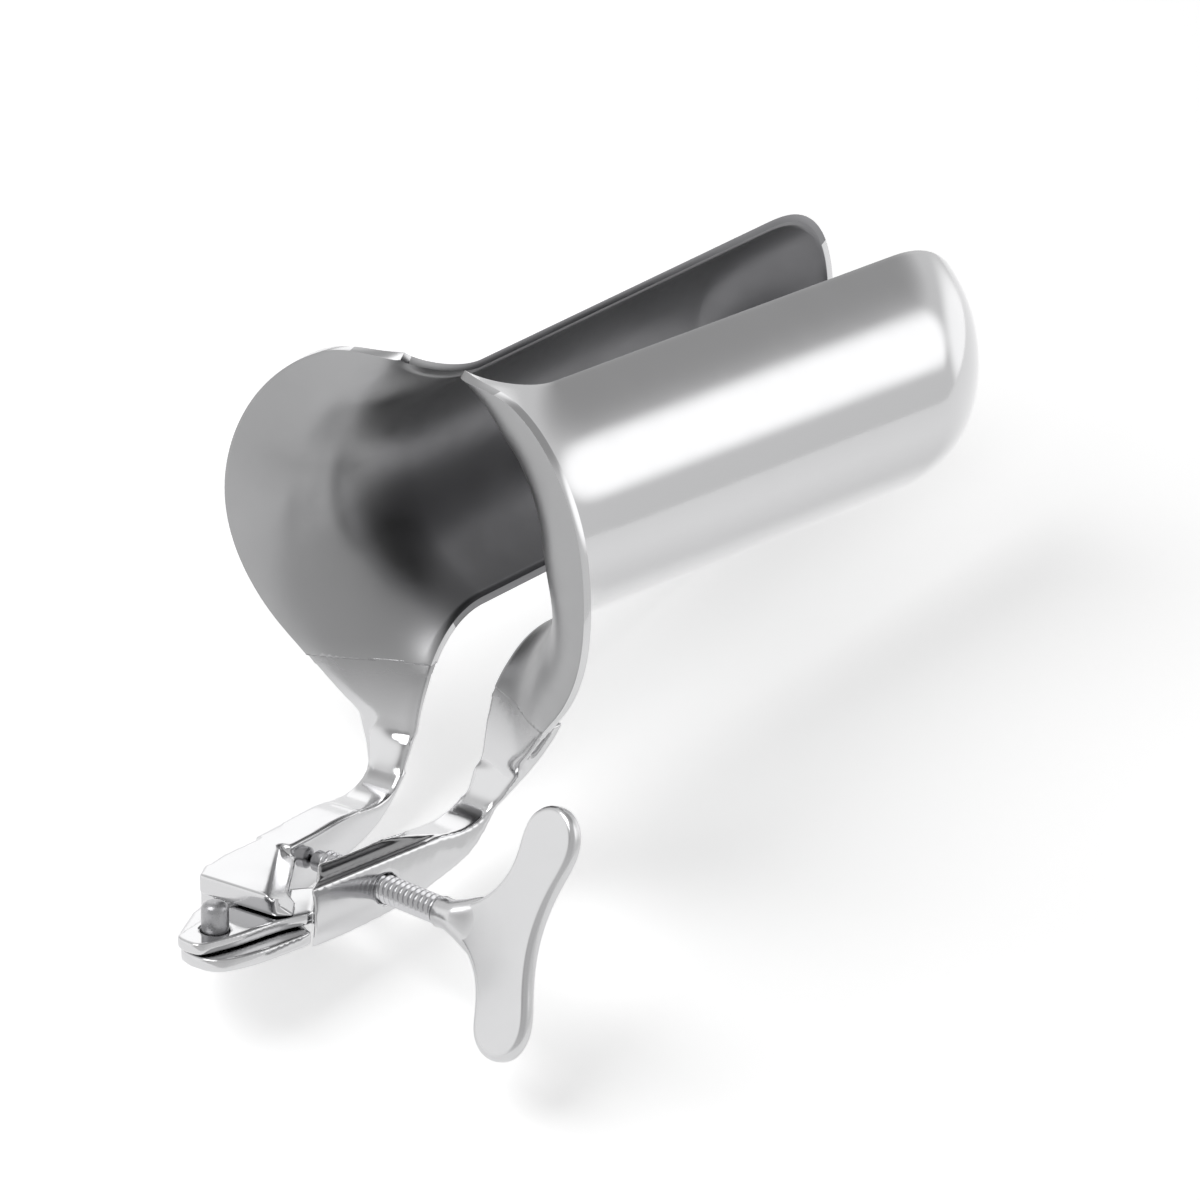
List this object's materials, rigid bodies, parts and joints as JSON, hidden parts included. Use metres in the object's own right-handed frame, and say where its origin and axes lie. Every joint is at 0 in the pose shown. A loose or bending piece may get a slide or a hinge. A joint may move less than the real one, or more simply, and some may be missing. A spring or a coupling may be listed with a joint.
{
  "type": "bivalve speculum",
  "caption": "Bivalve speculum: half-tube blades with rounded noses and a flared funnel, hinged like tweezers on an upright pin and set by a winged thumb screw.",
  "frame": {"origin": "on the hinge pin's axis, at the flat outer face of the lower cheek", "axes": "+X runs along the lower blade towards its nose, +Y up the hinge pin from the levers to the blades, +Z the way the upper valve opens"},
  "size_m": [0.158, 0.0864, 0.0754],
  "materials": {
    "polished_steel": "mirror polished stainless steel",
    "turned_steel": "turned stainless steel"
  },
  "bodies": {
    "lower_valve": {"lower_blade": "polished_steel", "lower_lever": "polished_steel", "hinge_pin": "turned_steel"},
    "upper_valve": {"upper_blade": "polished_steel", "upper_lever": "polished_steel"},
    "screw_carrier": {"screw_nose": "turned_steel"},
    "screw": {"screw_shank": "turned_steel", "screw_wing": "polished_steel"}
  },
  "joints": [
    {"name": "valve_hinge", "type": "hinge", "parent": "lower_valve", "child": "upper_valve", "pos_m": [0, 0, 0], "axis": [0, -1, 0], "range_deg": [-9.1, 16]},
    {"name": "screw_travel", "type": "slide", "parent": "upper_valve", "child": "screw_carrier", "axis": [0.1323, 0, -0.9912], "range_m": [-0.00466, 0.00818]},
    {"name": "screw_turn", "type": "hinge", "parent": "screw_carrier", "child": "screw", "pos_m": [0.02656, 0.0035, 0.00354], "axis": [0.1323, 0, -0.9912], "range_deg": [-1675.8, 2946.1]}
  ],
  "couplings": [
    {"joint": "screw_travel", "follows": "valve_hinge", "m_per_rad": 0.0293},
    {"joint": "screw_turn", "follows": "valve_hinge", "ratio": 184.1}
  ]
}
